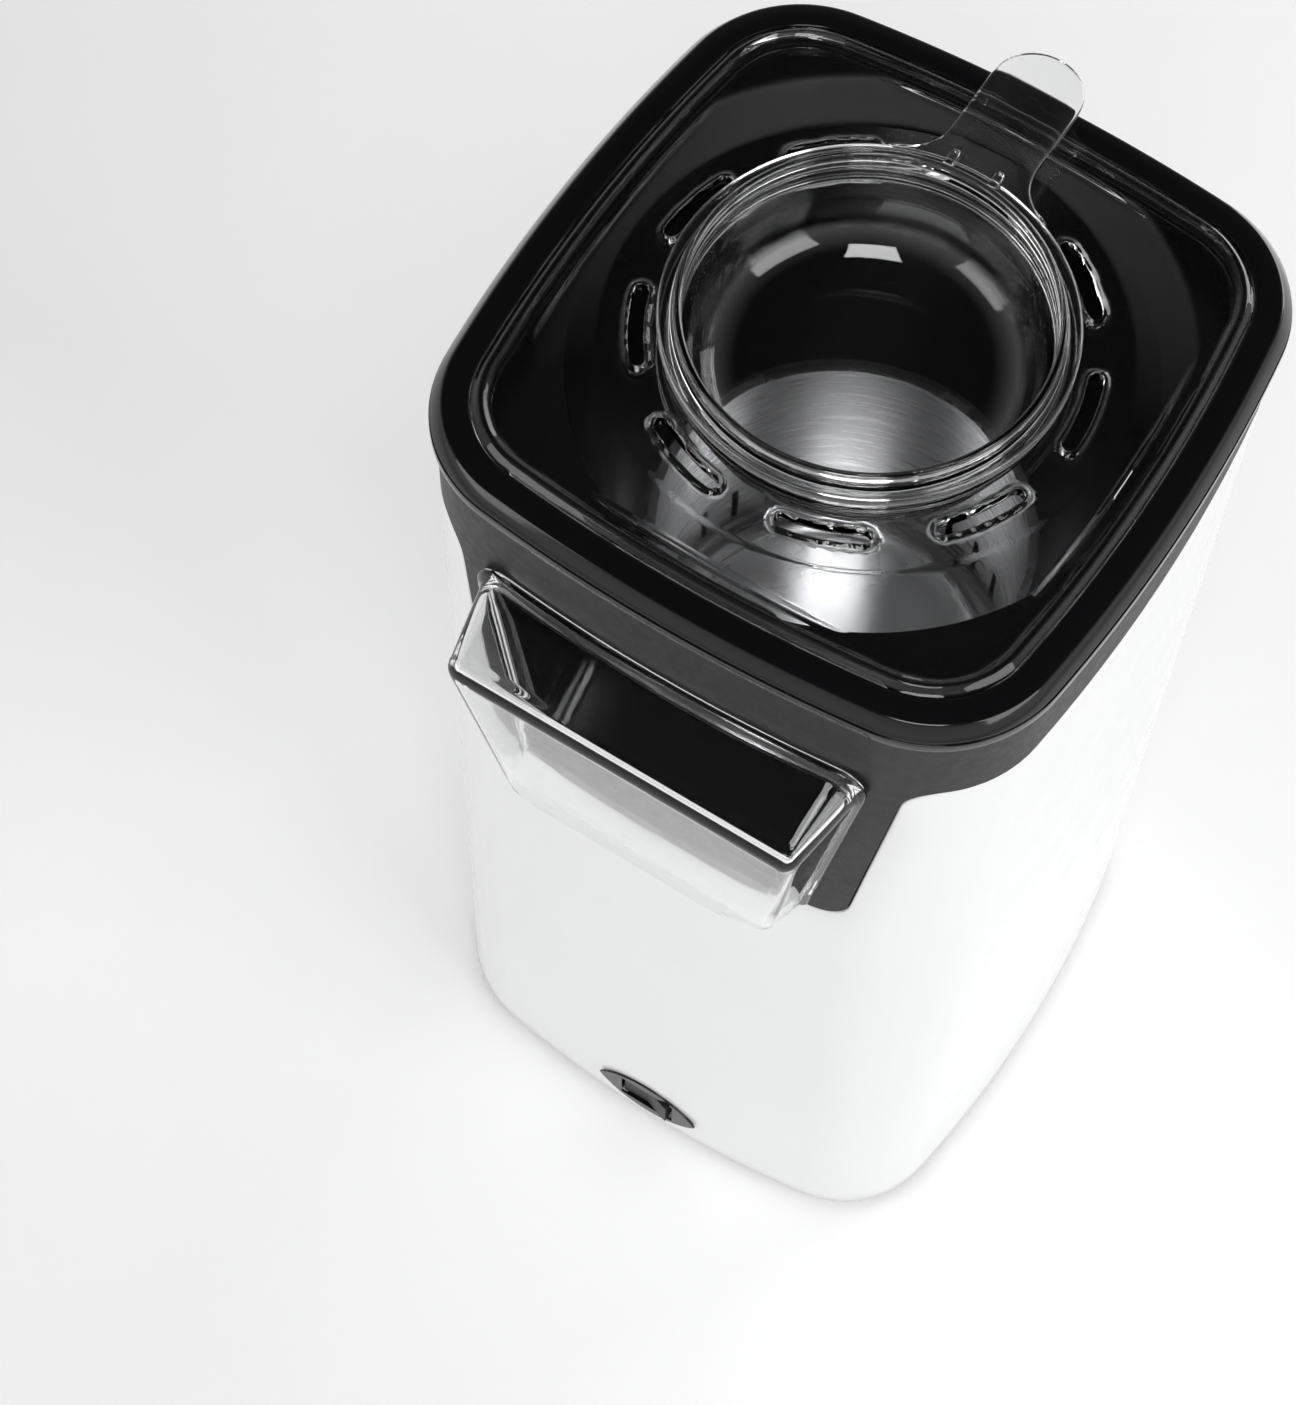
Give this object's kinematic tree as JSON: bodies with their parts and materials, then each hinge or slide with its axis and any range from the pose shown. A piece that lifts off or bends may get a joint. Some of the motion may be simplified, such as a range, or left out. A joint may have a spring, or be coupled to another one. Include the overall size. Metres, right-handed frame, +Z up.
{
  "type": "popcorn maker",
  "caption": "Hot-air popcorn maker: white square tower with dark collar, clear front chute hood, clear slotted lid and clear measuring cup with tab handle.",
  "frame": {"origin": "centre of the bounding box at the table plane, under the feet", "axes": "+Z up, -Y towards the chute at the front, +Y towards the measuring cup's handle, +X to the right seen from the front"},
  "size_m": [0.16, 0.1844, 0.3184],
  "materials": {
    "white_plastic": "glossy",
    "dark_plastic": "fine grained matte",
    "black_gloss": "glossy",
    "black_plastic": "satin",
    "clear_plastic": "clear",
    "rubber": "matte",
    "screw_steel": "zinc plated",
    "aluminium": "satin",
    "sheet_steel": "galvanised",
    "silicone": "matte",
    "mica": "flaky sheen",
    "heating_wire": "oxidised",
    "heat_plastic": "moulded",
    "copper": "bright",
    "magnet": "sintered",
    "brass": "bright",
    "board": "laminate",
    "nylon": "moulded"
  },
  "bodies": {
    "housing": {"housing_shell": "white_plastic", "collar": "dark_plastic", "base_plate": "black_plastic", "rubber_feet": "rubber", "base_screws": "screw_steel", "fan_leg_screws": "screw_steel", "chute_hood": "clear_plastic", "chute": "black_gloss", "inner_bowl": "black_gloss", "popping_chamber": "aluminium", "chamber_gasket": "silicone", "heater_can": "sheet_steel", "mica_board_across": "mica", "mica_board_along": "mica", "heater_coil": "heating_wire", "thermostat": "sheet_steel", "thermal_fuse": "sheet_steel", "fan_housing": "heat_plastic", "motor_screws": "screw_steel", "motor_can": "sheet_steel", "motor_end_cap": "nylon", "motor_bushes": "brass", "motor_magnets": "magnet", "rectifier_board": "board", "rectifier_diodes": "black_plastic", "switch_bezel": "black_gloss", "switch_body": "black_plastic", "switch_terminals": "brass", "cord_inlet": "black_plastic", "terminal_block": "nylon"},
    "cover": {"top_ring": "black_gloss", "lid_window": "clear_plastic"},
    "cup": {"measuring_cup": "clear_plastic"},
    "switch_rocker": {"rocker": "black_gloss"},
    "rotor": {"motor_shaft": "screw_steel", "armature": "copper", "commutator": "copper", "impeller": "black_plastic"}
  },
  "joints": [
    {"name": "cover_lift", "type": "slide", "parent": "housing", "child": "cover", "axis": [0, 0, 1], "range_m": [0, 0.06]},
    {"name": "cup_lift", "type": "slide", "parent": "cover", "child": "cup", "axis": [0, 0, 1], "range_m": [0, 0.08]},
    {"name": "rocker_tip", "type": "hinge", "parent": "housing", "child": "switch_rocker", "pos_m": [0, -0.06955, 0.0165], "axis": [0, 0, 1], "range_deg": [0, 16]},
    {"name": "fan_spin", "type": "hinge", "parent": "housing", "child": "rotor", "pos_m": [0, 0.00925, 0.09], "axis": [0, 0, 1], "continuous": true}
  ]
}
